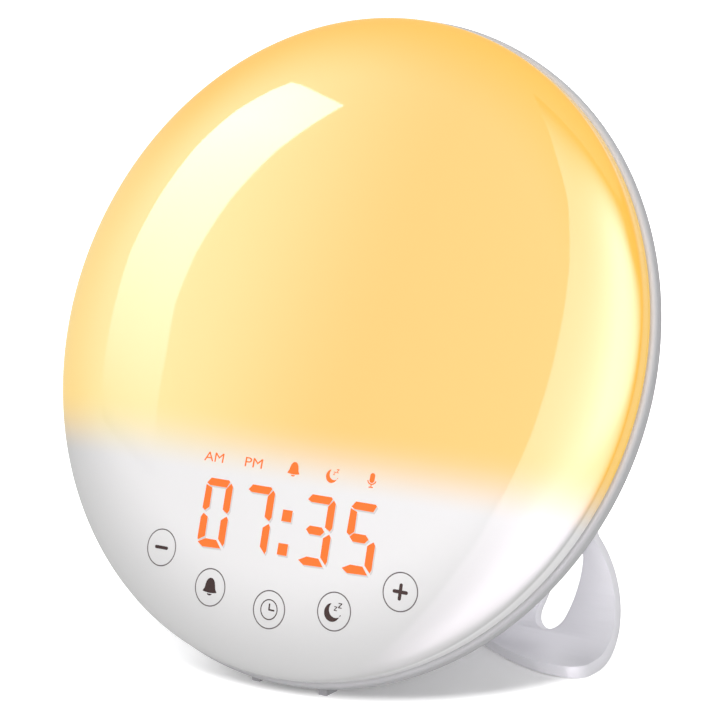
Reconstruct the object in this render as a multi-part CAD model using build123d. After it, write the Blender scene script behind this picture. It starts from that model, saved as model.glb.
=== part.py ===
from build123d import *
from math import cos, hypot, pi, radians, sin, sqrt
import os

# A sunrise alarm clock: a shallow glowing dome on a bowl-shaped rear housing that leans back
# on two small front feet and a C-shaped plug-in stand.
#
# Everything inside the case is drawn in the clock frame: X to the right, Y up the face and Z
# out of the face, with the origin at the centre of the seam between dome and housing.
# The stand and the feet are drawn in the floor frame: X to the right, Y to the back, Z up from
# the floor, with the origin on the floor under the seam's centre.

# Overall form
recline = 20.8
seam_radius = 86.0

# Dome
dome_side = 4.0
dome_rise = 7.5
dome_power = 2.7
dome_wall = 3.8
dome_side_wall = 1.5
dome_crown_wall = 2.0
skirt_step = 1.8
skirt_depth = 5.0

# Rear housing
seam_gap = 0.4
rim_proud = 1.3
rim_round = 1.2
rim_band = 3.4
bowl_waist_inset = 6.0
bowl_waist_depth = 17.2
housing_depth = 42.0
rear_flat_inset = 30.0
rear_edge_round = 4.0
housing_wall = 2.6
ledge_width = 1.7
ledge_height = 2.0
skirt_gap = 0.15

# Fits
running_gap = 0.25
seat_gap = 0.3
thread_gap = 0.03

# Screws: head radius, head height, shank radius
case_screw = (2.8, 2.0, 1.5)
board_screw = (2.3, 1.4, 1.0)
recess_width = 0.7
recess_depth = 0.8

# Light tray and light shield
tray_floor_z = -12.0
tray_floor = 2.0
tray_wall = 1.6
tray_rim_gap = 0.4
shield_rise = 24.2
shield_thickness = 1.6
shield_gap = 1.0

# Circuit boards
board = 1.6
led_board_margin = 9.0
led_board_edge_gap = 3.4
led_size = 3.5
led_height = 1.2
led_ring_counts = (6, 12, 18)
led_edge_gap = 3.0
led_screw_inset = 16.0
led_screw_drop = 8.0

# Clock display and touch keys
display_board_z = -3.6
display_board_margin = 5.7
display_board_rise = 21.2
display_post_inset = 8.0
display_post_angles = (-29.0, -45.0, -135.0, -151.0)
post_radius = 3.0
digit_x = 1.2
digit_inset = 37.8
digit_pitch = 13.0
digit_group_half = 15.6
digit_width = 8.7
digit_height = 17.7
digit_stroke = 2.2
colon_side = 2.9
colon_pitch = 8.4
colon_drop = 1.8
segment_gap = 0.4
segment_height = 0.5
display_block_margin = 2.8
display_block_height = 7.6
indicator_count = 5
indicator_pitch = 12.1
indicator_rise = 14.8
indicator_radius = 2.0
indicator_height = 9.6
key_radius = 4.3
key_inset = 16.5
key_count = 5
key_pitch = 19.2

# Main board
main_board_z = -24.0
main_board_margin = 7.0
main_board_bottom_inset = 30.0
main_board_top = -14.0
main_post_inset = 5.0
chips = ((-8.0, 11.0), (12.0, 10.0), (-24.0, -10.0), (22.0, -8.0))
chip_sizes = ((12.0, 12.0, 1.4), (8.0, 6.0, 1.2), (6.0, 5.0, 1.2), (9.0, 7.0, 1.6))
cans = ((-27.0, 8.0), (27.0, 8.0), (-4.0, -6.0))
can_sizes = ((4.0, 8.0), (4.0, 8.0), (2.5, 5.0))
ribbon_width = 16.0
ribbon_thickness = 0.6
ribbon_y = -40.0
ribbon_gap = 0.4

# Case screws
case_screw_circle = 51.0
case_screw_angle = 43.4
case_post_radius = 4.6
case_web_z = -30.0
case_web = 2.0
case_screw_length = 11.0
post_screw_bite = 4.0
head_clearance = 0.4
shank_clearance = 0.2

# Speaker
speaker_y = 10.0
speaker_radius = 21.0
speaker_flange = 1.0
gasket = 1.0
basket_wall = 1.0
basket_depth = 9.8
basket_base_radius = 11.2
magnet_radius = 15.0
magnet_height = 6.0
cone_radius = 17.3
cone_throat = 5.0
cone_depth = 6.0
cone_wall = 0.6
grille_hole_radius = 1.0
grille_pitch = 4.5
grille_rings = 3

# Ports
port_inset = 17.0
port_board_z = -27.6
port_board_half_width = 8.5
port_board_bottom = -13.0
port_board_top = 28.0
port_post_inset = 3.4
jack_y = 16.0
jack_body = 9.0
jack_sleeve_radius = 4.2
jack_bore_radius = 2.85
jack_bore_depth = 9.5
jack_pin_radius = 1.0
usb_y = 1.0
usb_length = 14.0
usb_width = 6.6
usb_wall = 0.5
usb_tongue = 1.8
usb_tongue_offset = 0.9
usb_depth = 11.0
port_recess = 0.4

# Rear buttons
button_pitch = 16.0
button_y = 44.0
button_length = 9.0
button_width = 6.0
button_proud = 1.0
button_travel = 0.6
button_flange = 1.5
button_flange_height = 1.0
button_stem_radius = 1.5
button_stem = 2.1
switch_body = 6.0
switch_height = 3.5
switch_plunger_radius = 1.7
switch_plunger = 0.7
button_play = 0.2
button_board_half_width = 25.0
button_board_bottom = 32.0
button_board_top = 51.0
button_post = (21.5, 35.5)
reset_y = 36.0
reset_hole_radius = 0.9

# Battery bay
battery_inset = 17.0
battery_y = 8.0
bay_radius = 13.0
bay_wall = 1.4
bay_depth = 11.0
bay_ledge_radius = 11.4
bay_ledge = 0.9
door_neck_radius = 11.1
door_lug_radius = 12.3
door_lug_height = 1.2
door_lugs = 3
door_lug_angle = 30.0
door_notch_angle = 38.0
door_turn = 60.0
coin_slot = (12.0, 1.8, 1.1)
cell_radius = 10.0
cell_height = 3.2
holder_wall = 1.2
contact_radius = 6.0
contact_bore = 3.0

# Feet
foot_x = 10.3
foot_width = 2.4
foot_length = 5.0
foot_front = 24.6
foot_depth = 8.0
foot_clearance = 2.3

# Stand
stand_bend_radius = 20.6
stand_bend_y = 29.2
stand_thickness = 3.0
stand_foot = 8.8
stand_half_width = 60.2
stand_waist = (56.6, 13.5)
stand_top_half_width = 50.6
stand_top_height = 31.0
stand_corner = 5.0
shoulder_angle = 130.0
shoulder = (46.0, -6.0)
shoulder_end = (52.0, 3.0)
shoulder_round = 5.0
tongue_half_width = 17.0
tongue_depth = 11.5
tongue_gap = 0.2
socket_wall = 2.0
slot_x = 40.4
slot_width = 8.8
slot_length = 25.2
slot_angle = 76.0
slot_tilt = 9.5
arch_angle = 15.0
arch_half_width = 53.0
arch_front = 14.0
arch_top = 5.9
pad_x = 49.5
pad_length = 16.0
pad_width = 3.2
pad_thickness = 0.8
pad_proud = 0.3

# Heights and places that follow from the sizes above
rim_radius = seam_radius + rim_proud
dome_inner_radius = seam_radius - dome_wall
dome_inner_side = dome_side - dome_side_wall
dome_inner_top = dome_side + dome_rise - dome_crown_wall
skirt_radius = seam_radius - skirt_step
rear_flat_radius = seam_radius - rear_flat_inset
port_x = port_inset - rear_flat_radius
battery_x = rear_flat_radius - battery_inset
case_screw_x = case_screw_circle * cos(radians(case_screw_angle))
case_screw_y = case_screw_circle * sin(radians(case_screw_angle))
main_board_half_width = case_screw_x + main_board_margin
main_board_bottom = main_board_bottom_inset - seam_radius
digit_centre = (digit_x, digit_inset - seam_radius)
shield_y = digit_centre[1] + shield_rise
display_board_top = digit_centre[1] + display_board_rise
indicator_y = digit_centre[1] + indicator_rise
key_circle = seam_radius - key_inset
display_board_radius = dome_inner_radius - display_board_margin
back_z = -housing_depth
wall_z = back_z + housing_wall
display_top_z = display_board_z + board
display_face_z = display_top_z + display_block_height
lean_sin, lean_cos = sin(radians(recline)), cos(radians(recline))


def circle_through(a, b, c):
    """Centre and radius of the circle through three points."""
    d = 2 * (a[0] * (b[1] - c[1]) + b[0] * (c[1] - a[1]) + c[0] * (a[1] - b[1]))
    squares = [p[0] ** 2 + p[1] ** 2 for p in (a, b, c)]
    x = (squares[0] * (b[1] - c[1]) + squares[1] * (c[1] - a[1]) + squares[2] * (a[1] - b[1])) / d
    y = (squares[0] * (c[0] - b[0]) + squares[1] * (a[0] - c[0]) + squares[2] * (b[0] - a[0])) / d
    return x, y, hypot(a[0] - x, a[1] - y)


tray_back_z = tray_floor_z - tray_floor
bowl_x, bowl_y, bowl_arc_radius = circle_through(
    (rim_radius, -rim_band),
    (seam_radius - bowl_waist_inset, -bowl_waist_depth),
    (rear_flat_radius, back_z),
)


def bowl_radius(z, inset=0.0):
    """The bowl's radius at a height, on its outside or that far inside it."""
    return bowl_x + sqrt((bowl_arc_radius - inset) ** 2 - (z - bowl_y) ** 2)


tray_radius = bowl_radius(tray_back_z, housing_wall) - seat_gap
led_board_radius = tray_radius - tray_wall - led_board_margin
led_ring_step = (led_board_radius - 2 * led_size) / len(led_ring_counts)


def bowl_arc(z_from, z_to, inset=0.0):
    """The bowl's arc, as a spline: a turned circle of this size would cross itself at the axis."""
    steps = 6
    heights = [z_from + (z_to - z_from) * step / steps for step in range(steps + 1)]
    return Spline(*[(bowl_radius(z, inset), z) for z in heights])


def turned(edges):
    """A solid of revolution about Z from edges drawn as (radius, height)."""
    return revolve(Plane.XZ * make_face(edges), Axis.Z)


def outline(*points):
    return Polyline(*points)


def block(x_from, x_to, y_from, y_to, z_from, z_to):
    size = (x_to - x_from, y_to - y_from, z_to - z_from)
    middle = ((x_from + x_to) / 2, (y_from + y_to) / 2, (z_from + z_to) / 2)
    return Pos(*middle) * Box(*size)


def rod(x, y, radius, z_from, z_to):
    return Pos(x, y, (z_from + z_to) / 2) * Cylinder(radius, z_to - z_from)


def tube(x, y, outer, inner, z_from, z_to):
    return rod(x, y, outer, z_from, z_to) - rod(x, y, inner, z_from, z_to)


def screw(x, y, seat, way, size, length):
    """A pan-head screw seated at a height, with its shank pointing up (1) or down (-1)."""
    head_radius, head_height, shank_radius = size
    head = rod(x, y, head_radius, *sorted((seat, seat - way * head_height)))
    shank = rod(x, y, shank_radius, *sorted((seat, seat + way * length)))
    top = seat - way * head_height
    cross = [
        block(x - w, x + w, y - v, y + v, *sorted((top, top + way * recess_depth)))
        for w, v in ((recess_width / 2, head_radius * 0.7), (head_radius * 0.7, recess_width / 2))
    ]
    return head + shank - cross


def obround(x, y, length, width, z_from, z_to):
    return Pos(x, y, z_from) * extrude(SlotOverall(length, width), z_to - z_from)


# ---- Dome ----

def dome_form(radius, side, rise, base):
    """The round form under a dome: a straight side, then a crown that follows a superellipse."""
    steps = 8
    crown = []
    for step in range(steps + 1):
        angle = step * pi / 2 / steps
        crown.append((radius * cos(angle) ** (2 / dome_power), side + rise * sin(angle)))
    crown[-1] = (0, side + rise)
    return turned([Line((0, base), (radius, base)), Line((radius, base), (radius, side)),
                   Spline(*crown), Line((0, side + rise), (0, base))])


def dome_space(gap):
    """The space under the dome, kept a gap clear of its inner face."""
    return dome_form(dome_inner_radius - gap, dome_inner_side - gap,
                     dome_inner_top - dome_inner_side, -skirt_depth)


def diffuser_dome():
    outside = dome_form(seam_radius, dome_side, dome_rise, 0)
    skirt = rod(0, 0, skirt_radius, -skirt_depth, 0)
    hollow = dome_form(dome_inner_radius, dome_inner_side, dome_inner_top - dome_inner_side,
                       -skirt_depth - 1)
    return outside + skirt - hollow


# ---- Rear housing ----

def housing_outside():
    top = -seam_gap
    form = turned([
        outline((0, back_z), (0, top), (rim_radius - rim_round, top)),
        ThreePointArc(
            (rim_radius - rim_round, top),
            (rim_radius - rim_round * (1 - sqrt(0.5)), top - rim_round * (1 - sqrt(0.5))),
            (rim_radius, top - rim_round)),
        Line((rim_radius, top - rim_round), (rim_radius, -rim_band)),
        bowl_arc(-rim_band, back_z),
        Line((rear_flat_radius, back_z), (0, back_z)),
    ])
    rear_edge = form.edges().filter_by(GeomType.CIRCLE).sort_by(Axis.Z)[0]
    return fillet(rear_edge, rear_edge_round)


def housing_inside():
    seat = -skirt_depth - skirt_gap
    below_ledge = seat - ledge_height
    bore = skirt_radius + skirt_gap
    ledge = bore - ledge_width
    return turned([
        outline((0, wall_z), (0, 1), (bore, 1), (bore, seat), (ledge, seat), (ledge, below_ledge),
                (bowl_radius(below_ledge, housing_wall), below_ledge)),
        bowl_arc(below_ledge, wall_z, housing_wall),
        Line((bowl_radius(wall_z, housing_wall), wall_z), (0, wall_z)),
    ])


def case_screw_points():
    return [(x, y) for x in (-case_screw_x, case_screw_x) for y in (-case_screw_y, case_screw_y)]


def speaker_screw_points():
    reach = (speaker_radius + board_screw[0]) * sqrt(0.5)
    return [(x, speaker_y + y) for x in (-reach, reach) for y in (-reach, reach)]


def button_points():
    return [(x, button_y) for x in (-button_pitch, 0, button_pitch)]


def button_post_points():
    return [(-button_post[0], button_post[1]), (button_post[0], button_post[1])]


def port_post_points():
    return [(port_x, port_board_bottom + port_post_inset), (port_x, port_board_top - port_post_inset)]


stem_end_z = wall_z + seat_gap + button_flange_height + button_stem
switch_top_z = stem_end_z + button_travel + button_play
button_board_z = switch_top_z + switch_plunger + switch_height
speaker_flange_z = wall_z + gasket + speaker_flange


def grille_holes():
    holes = [rod(0, speaker_y, grille_hole_radius, back_z - 1, wall_z + 1)]
    for ring_number in range(1, grille_rings + 1):
        count = 6 * ring_number
        for index in range(count):
            angle = 2 * pi * index / count
            reach = ring_number * grille_pitch
            holes.append(rod(reach * cos(angle), speaker_y + reach * sin(angle),
                             grille_hole_radius, back_z - 1, wall_z + 1))
    return holes


def screw_post(x, y, radius, z_from, z_to, size):
    """A post with a blind hole for a screw that enters at its upper end."""
    return tube(x, y, radius, size[2] + thread_gap, z_from, z_to)


def door_sector(radius, angle, turn, z_from, z_to):
    """Equal sectors about the battery bay's centre, one for each lug of its door."""
    face = Sketch()
    for index in range(door_lugs):
        middle = turn + 360 / door_lugs * index
        face += make_face([
            Line((0, 0), (radius * cos(radians(middle - angle / 2)),
                          radius * sin(radians(middle - angle / 2)))),
            CenterArc((0, 0), radius, middle - angle / 2, angle),
            Line((radius * cos(radians(middle + angle / 2)),
                  radius * sin(radians(middle + angle / 2))), (0, 0)),
        ])
    return Pos(battery_x, battery_y, z_from) * extrude(face, z_to - z_from)


ledge_z = wall_z + thread_gap
bay_floor_z = back_z + bay_depth
lug_z = ledge_z + bay_ledge + running_gap


def rear_housing():
    shell = housing_outside() - housing_inside()
    bay = (battery_x, battery_y)
    case_tube_top = case_web_z + case_web
    socket_top = back_z + tongue_depth + seat_gap
    add = [
        tube(x, y, case_post_radius, case_screw[2] + shank_clearance, wall_z, case_tube_top)
        for x, y in case_screw_points()
    ]
    add += [screw_post(x, y, board_screw[0], wall_z, speaker_flange_z, board_screw)
            for x, y in speaker_screw_points()]
    add += [screw_post(x, y, post_radius, wall_z, button_board_z, board_screw)
            for x, y in button_post_points()]
    add += [screw_post(x, y, post_radius, wall_z, port_board_z, board_screw)
            for x, y in port_post_points()]
    half = stand_thickness / 2 + tongue_gap + socket_wall
    reach = tongue_half_width + tongue_gap + socket_wall
    add.append(block(-reach, reach, socket_y - half, socket_y + half, wall_z,
                     socket_top + socket_wall))
    add.append(rod(*bay, bay_radius + bay_wall, wall_z, bay_floor_z + bay_wall))
    for piece in add:
        shell += piece
    cut = [rod(x, y, case_screw[0] + head_clearance, back_z - 1, case_web_z)
           for x, y in case_screw_points()]
    cut += grille_holes()
    cut.append(block(-tongue_half_width - tongue_gap, tongue_half_width + tongue_gap,
                     socket_y - stand_thickness / 2 - tongue_gap,
                     socket_y + stand_thickness / 2 + tongue_gap, back_z - 1, socket_top))
    cut += [obround(x, y, button_length + 2 * running_gap, button_width + 2 * running_gap,
                    back_z - 1, wall_z + 0.01) for x, y in button_points()]
    cut.append(rod(0, reset_y, reset_hole_radius, back_z - 1, wall_z + 1))
    cut.append(rod(port_x, jack_y, jack_sleeve_radius + running_gap, back_z - 1, wall_z + 1))
    cut.append(block(port_x - usb_width / 2 - running_gap, port_x + usb_width / 2 + running_gap,
                     usb_y - usb_length / 2 - running_gap, usb_y + usb_length / 2 + running_gap,
                     back_z - 1, wall_z + 1))
    cut.append(rod(*bay, bay_radius, back_z - 1, ledge_z))
    cut.append(rod(*bay, bay_ledge_radius, back_z - 1, bay_floor_z))
    cut.append(rod(*bay, bay_radius, ledge_z + bay_ledge, bay_floor_z))
    cut.append(door_sector(bay_radius, door_notch_angle, door_turn, ledge_z - 1, bay_floor_z))
    for piece in cut:
        shell -= piece
    return shell


def case_screws():
    return [screw(x, y, case_web_z, 1, case_screw, case_screw_length)
            for x, y in case_screw_points()]


# ---- Light tray, shield and lamp ----

def light_tray():
    rim_top = -skirt_depth - tray_rim_gap
    tray = rod(0, 0, tray_radius, tray_back_z, tray_floor_z)
    tray += tube(0, 0, tray_radius, tray_radius - tray_wall, tray_floor_z, rim_top)
    for x, y in case_screw_points():
        tray += rod(x, y, case_post_radius, case_web_z + case_web, tray_back_z)
        tray -= rod(x, y, case_screw[2] + thread_gap, case_web_z + case_web,
                    case_web_z + case_screw_length + seat_gap)
    for x, y in display_posts():
        tray += screw_post(x, y, post_radius, tray_floor_z, display_board_z, board_screw)
    for x, y in main_post_points():
        tray += screw_post(x, y, post_radius, main_board_z + board, tray_back_z, board_screw)
    for x, y in led_screw_points():
        tray -= rod(x, y, board_screw[2] + thread_gap, tray_back_z, tray_floor_z)
    tray -= block(-ribbon_width / 2 - ribbon_gap, ribbon_width / 2 + ribbon_gap,
                  ribbon_y - ribbon_thickness / 2 - ribbon_gap,
                  ribbon_y + ribbon_thickness / 2 + ribbon_gap, tray_back_z, tray_floor_z)
    return tray


def light_shield():
    reach = tray_radius - tray_wall - seat_gap
    wall = block(-reach, reach, shield_y, shield_y + shield_thickness, tray_floor_z,
                 dome_inner_top)
    space = dome_space(shield_gap) + rod(0, 0, reach, tray_floor_z, -skirt_depth)
    return wall & space & rod(0, 0, reach, tray_floor_z, dome_inner_top)


def led_screw_points():
    reach = led_board_radius - led_screw_inset
    return [(0, reach), (-reach, -led_screw_drop), (reach, -led_screw_drop)]


def led_board():
    lower_edge = shield_y + shield_thickness + led_board_edge_gap
    plate = rod(0, 0, led_board_radius, tray_floor_z, tray_floor_z + board)
    plate -= block(-led_board_radius, led_board_radius, -led_board_radius - 1, lower_edge,
                   tray_floor_z - 1, tray_floor_z + board + 1)
    for x, y in led_screw_points():
        plate -= rod(x, y, board_screw[2] + thread_gap, tray_floor_z, tray_floor_z + board)
    return plate


def led_packages():
    base = tray_floor_z + board
    lowest = shield_y + shield_thickness + led_board_edge_gap + led_edge_gap
    packages = []
    for ring_number, count in enumerate(led_ring_counts, start=1):
        reach = ring_number * led_ring_step
        for index in range(count):
            angle = 2 * pi * (index + 0.5) / count
            x, y = reach * cos(angle), reach * sin(angle)
            if y < lowest:
                continue
            packages.append(Pos(x, y, base + led_height / 2) * Box(led_size, led_size, led_height))
    return packages


def lamp_screws():
    return [screw(x, y, tray_floor_z + board, -1, board_screw, board + tray_floor)
            for x, y in led_screw_points()]


# ---- Clock display and touch keys ----

def display_posts():
    reach = display_board_radius - display_post_inset
    return [(reach * cos(radians(angle)), reach * sin(radians(angle)))
            for angle in display_post_angles]


def display_board():
    plate = rod(0, 0, display_board_radius, display_board_z, display_top_z)
    plate -= block(-display_board_radius, display_board_radius, display_board_top,
                   display_board_radius + 1, display_board_z - 1, display_top_z + 1)
    for x, y in display_posts():
        plate -= rod(x, y, board_screw[2] + thread_gap, display_board_z, display_top_z)
    return plate


def digit_centres():
    return [digit_centre[0] + group + place for group in (-digit_group_half, digit_group_half)
            for place in (-digit_pitch / 2, digit_pitch / 2)]


def display_block():
    half_x = digit_group_half + digit_pitch / 2 + digit_width / 2 + display_block_margin
    half_y = digit_height / 2 + display_block_margin
    x, y = digit_centre
    return block(x - half_x, x + half_x, y - half_y, y + half_y, display_top_z, display_face_z)


def segment(x, y, length, upright):
    """One six-sided bar of a digit, as a solid on the display's face."""
    half, edge = length / 2, digit_stroke / 2
    bar = [(-half, 0), (-half + edge, edge), (half - edge, edge), (half, 0),
           (half - edge, -edge), (-half + edge, -edge)]
    if upright:
        bar = [(v, u) for u, v in bar]
    face = make_face(Polyline(*[(x + u, y + v) for u, v in bar], close=True))
    return Pos(0, 0, display_face_z) * extrude(face, segment_height)


def display_segments():
    across = digit_width - digit_stroke
    upright = (digit_height - digit_stroke) / 2
    middle = digit_centre[1]
    bars = []
    for centre in digit_centres():
        for y in (-upright, 0, upright):
            bars.append(segment(centre, middle + y, across - segment_gap, False))
        for x in (-across / 2, across / 2):
            for y in (-upright / 2, upright / 2):
                bars.append(segment(centre + x, middle + y, upright - segment_gap, True))
    for y in (-colon_pitch / 2, colon_pitch / 2):
        dot = Pos(digit_centre[0], middle - colon_drop + y, display_face_z + segment_height / 2)
        bars.append(dot * Box(colon_side, colon_side, segment_height))
    return bars


def indicator_guides():
    first = -indicator_pitch * (indicator_count - 1) / 2
    return [rod(first + index * indicator_pitch, indicator_y, indicator_radius, display_top_z,
                display_top_z + indicator_height) for index in range(indicator_count)]


def touch_pillars():
    space = dome_space(seat_gap)
    turns = [(place - (key_count - 1) / 2) * key_pitch / key_circle for place in range(key_count)]
    return [rod(key_circle * sin(turn), -key_circle * cos(turn), key_radius, display_top_z,
                dome_inner_top) & space
            for turn in turns]


def display_screws():
    return [screw(x, y, display_top_z, -1, board_screw, board + post_screw_bite)
            for x, y in display_posts()]


# ---- Main board ----

def main_post_points():
    x = main_board_half_width - main_post_inset
    return [(side * x, y) for side in (-1, 1)
            for y in (main_board_bottom + main_post_inset, main_board_top - main_post_inset)]


def main_board():
    plate = block(-main_board_half_width, main_board_half_width, main_board_bottom,
                  main_board_top, main_board_z, main_board_z + board)
    for x, y in main_post_points():
        plate -= rod(x, y, board_screw[2] + thread_gap, main_board_z, main_board_z + board)
    for x, y in case_screw_points():
        plate -= rod(x, y, case_post_radius + seat_gap, main_board_z, main_board_z + board)
    return plate


def main_board_screws():
    return [screw(x, y, main_board_z, 1, board_screw, board + post_screw_bite)
            for x, y in main_post_points()]


def on_main_board(place):
    """A place given across, and up from the board's lower edge or, below zero, down from its top."""
    x, y = place
    return x, y + (main_board_top if y < 0 else main_board_bottom)


def main_board_chips():
    parts = []
    for place, (w, d, h) in zip(chips, chip_sizes):
        x, y = on_main_board(place)
        parts.append(block(x - w / 2, x + w / 2, y - d / 2, y + d / 2, main_board_z - h, main_board_z))
    return parts


def capacitors():
    return [rod(*on_main_board(place), radius, main_board_z - height, main_board_z)
            for place, (radius, height) in zip(cans, can_sizes)]


def display_ribbon():
    return block(-ribbon_width / 2, ribbon_width / 2, ribbon_y - ribbon_thickness / 2,
                 ribbon_y + ribbon_thickness / 2, main_board_z + board, display_board_z)


# ---- Speaker ----

def at_speaker(shape):
    return Pos(0, speaker_y, 0) * shape


def speaker_gasket():
    return tube(0, speaker_y, speaker_radius, cone_radius + seat_gap, wall_z, wall_z + gasket)


def speaker_basket():
    low, high = wall_z + gasket, speaker_flange_z
    base = high + basket_depth
    inner = cone_radius + seat_gap
    return at_speaker(turned([outline(
        (inner, low), (speaker_radius, low), (speaker_radius, high), (inner + basket_wall, high),
        (basket_base_radius, base), (cone_throat + 1, base), (cone_throat + 1, base - basket_wall),
        (basket_base_radius - basket_wall, base - basket_wall), (inner, high), (inner, low))]))


def speaker_cone():
    front = wall_z + gasket
    throat = front + cone_depth
    return at_speaker(turned([outline(
        (cone_radius, front), (cone_radius, front + cone_wall), (cone_throat, throat),
        (0, throat - cone_wall), (0, throat - 2 * cone_wall), (cone_throat, throat - cone_wall),
        (cone_radius - 1, front), (cone_radius, front))]))


def speaker_magnet():
    base = speaker_flange_z + basket_depth
    coil = rod(0, speaker_y, cone_throat - 0.3, wall_z + gasket + cone_depth + seat_gap, base)
    return coil + rod(0, speaker_y, magnet_radius, base, base + magnet_height)


def speaker_screws():
    return [screw(x, y, speaker_flange_z, -1, (board_screw[0] + 0.7, *board_screw[1:]),
                  gasket + speaker_flange - thread_gap) for x, y in speaker_screw_points()]


# ---- Ports ----

def port_board():
    plate = block(port_x - port_board_half_width, port_x + port_board_half_width,
                  port_board_bottom, port_board_top, port_board_z, port_board_z + board)
    for x, y in port_post_points():
        plate -= rod(x, y, board_screw[2] + thread_gap, port_board_z, port_board_z + board)
    return plate


def port_screws():
    return [screw(x, y, port_board_z + board, -1, board_screw, board + post_screw_bite)
            for x, y in port_post_points()]


def power_inlet():
    mouth = back_z + port_recess
    half = jack_body / 2
    body = block(port_x - half, port_x + half, jack_y - half, jack_y + half,
                 wall_z + seat_gap, port_board_z)
    body += rod(port_x, jack_y, jack_sleeve_radius, mouth, wall_z + seat_gap)
    body -= rod(port_x, jack_y, jack_bore_radius, mouth - 1, mouth + jack_bore_depth)
    return body


def inlet_pin():
    mouth = back_z + port_recess
    return rod(port_x, jack_y, jack_pin_radius, mouth + 1, mouth + jack_bore_depth)


def usb_frame(inset):
    return (port_x - usb_width / 2 + inset, port_x + usb_width / 2 - inset,
            usb_y - usb_length / 2 + inset, usb_y + usb_length / 2 - inset)


def usb_socket():
    mouth = back_z + port_recess
    shell = block(*usb_frame(0), mouth, port_board_z)
    return shell - block(*usb_frame(usb_wall), mouth - 1, mouth + usb_depth)


def usb_tongue_piece():
    mouth = back_z + port_recess
    x_from, _, y_from, y_to = usb_frame(usb_wall + usb_tongue_offset)
    return block(x_from, x_from + usb_tongue, y_from, y_to, mouth + 1, mouth + usb_depth)


# ---- Rear buttons ----

def push_button(x, y):
    cap = obround(x, y, button_length, button_width, back_z - button_proud, wall_z + seat_gap)
    cap = fillet(cap.faces().sort_by(Axis.Z)[0].edges(), 0.5)
    cap += obround(x, y, button_length + 2 * button_flange, button_width + 2 * button_flange,
                   wall_z + seat_gap, wall_z + seat_gap + button_flange_height)
    return cap + rod(x, y, button_stem_radius, wall_z + seat_gap + button_flange_height,
                     stem_end_z)


def button_board():
    plate = block(-button_board_half_width, button_board_half_width, button_board_bottom,
                  button_board_top, button_board_z, button_board_z + board)
    for x, y in button_post_points():
        plate -= rod(x, y, board_screw[2] + thread_gap, button_board_z, button_board_z + board)
    return plate


def tact_switches():
    half = switch_body / 2
    return [
        block(x - half, x + half, y - half, y + half, button_board_z - switch_height,
              button_board_z)
        + rod(x, y, switch_plunger_radius, switch_top_z, button_board_z - switch_height)
        for x, y in button_points() + [(0, reset_y)]
    ]


def button_board_screws():
    return [screw(x, y, button_board_z + board, -1, board_screw, board + post_screw_bite)
            for x, y in button_post_points()]


# ---- Battery bay ----

def battery_door():
    radius = bay_radius - running_gap
    door = rod(battery_x, battery_y, radius, back_z, wall_z)
    door += rod(battery_x, battery_y, door_neck_radius, wall_z, lug_z + door_lug_height)
    door += door_sector(door_lug_radius, door_lug_angle, 0, lug_z, lug_z + door_lug_height)
    length, width, depth = coin_slot
    return door - Pos(battery_x, battery_y, back_z + depth / 2) * Box(length, width, depth)


door_inner_z = lug_z + door_lug_height
cell_z = door_inner_z + running_gap


def coin_cell():
    return rod(battery_x, battery_y, cell_radius, cell_z, cell_z + cell_height)


def cell_holder():
    inner = cell_radius + running_gap
    return tube(battery_x, battery_y, inner + holder_wall, inner, cell_z, bay_floor_z)


def cell_contacts():
    return tube(battery_x, battery_y, contact_radius, contact_bore, cell_z + cell_height,
                bay_floor_z)


# ---- Feet and stand, in the floor frame ----

seam_height = bowl_radius(-foot_depth) * lean_cos + foot_depth * lean_sin + foot_clearance
to_floor_frame = Pos(0, 0, seam_height) * Rot(90 - recline, 0, 0)
bend_height = stand_bend_radius + pad_proud
mid_radius = stand_bend_radius - stand_thickness / 2
end_angle = 180 - recline


def bend_point(radius, angle):
    """A point of the stand's bend, with the angle counted from straight down towards the back."""
    return (0, stand_bend_y + radius * sin(radians(angle)),
            bend_height - radius * cos(radians(angle)))


def socket_place():
    """The stand's tongue in the clock frame: its place up the back and its depth at the bend."""
    _, y, z = bend_point(mid_radius, end_angle)
    drop = z - seam_height
    return y * lean_sin + drop * lean_cos, -(y * lean_cos - drop * lean_sin)


socket_y, bend_end_z = socket_place()


def front_feet():
    envelope = to_floor_frame * housing_outside()
    return [
        block(x - foot_width / 2, x + foot_width / 2, -foot_front, foot_length - foot_front, 0,
              3 * foot_clearance) - envelope
        for x in (-foot_x, foot_x)
    ]


def from_bend_centre(angle, face):
    """A cutter drawn on the plane through the bend's centre and pushed outwards at an angle."""
    plane = Plane(origin=(0, stand_bend_y, bend_height), x_dir=(1, 0, 0),
                  z_dir=(0, sin(radians(angle)), -cos(radians(angle))))
    return extrude(plane * face, 2 * stand_bend_radius)


def stand_bar():
    """The stand's profile, seen from the side, at its full width: foot, bend and tongue."""
    outer, inner = stand_bend_radius, stand_bend_radius - stand_thickness
    reach = bend_end_z - back_z - tongue_depth
    along = (reach * lean_cos, -reach * lean_sin)
    ends = []
    for radius in (outer, inner):
        _, y, z = bend_point(radius, end_angle)
        ends.append(((y, z), (y + along[0], z + along[1])))
    front = stand_bend_y - stand_foot

    def arc(radius):
        return ThreePointArc(*[bend_point(radius, angle)[1:] for angle in (0, 90, end_angle)])

    face = make_face([
        Line((front, pad_proud), (stand_bend_y, pad_proud)), arc(outer), Line(*ends[0]),
        Line(ends[0][1], ends[1][1]), Line(*ends[1]), arc(inner),
        outline((stand_bend_y, pad_proud + stand_thickness), (front, pad_proud + stand_thickness),
                (front, pad_proud)),
    ])
    return extrude(Plane.YZ * face, stand_half_width, both=True)


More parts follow.
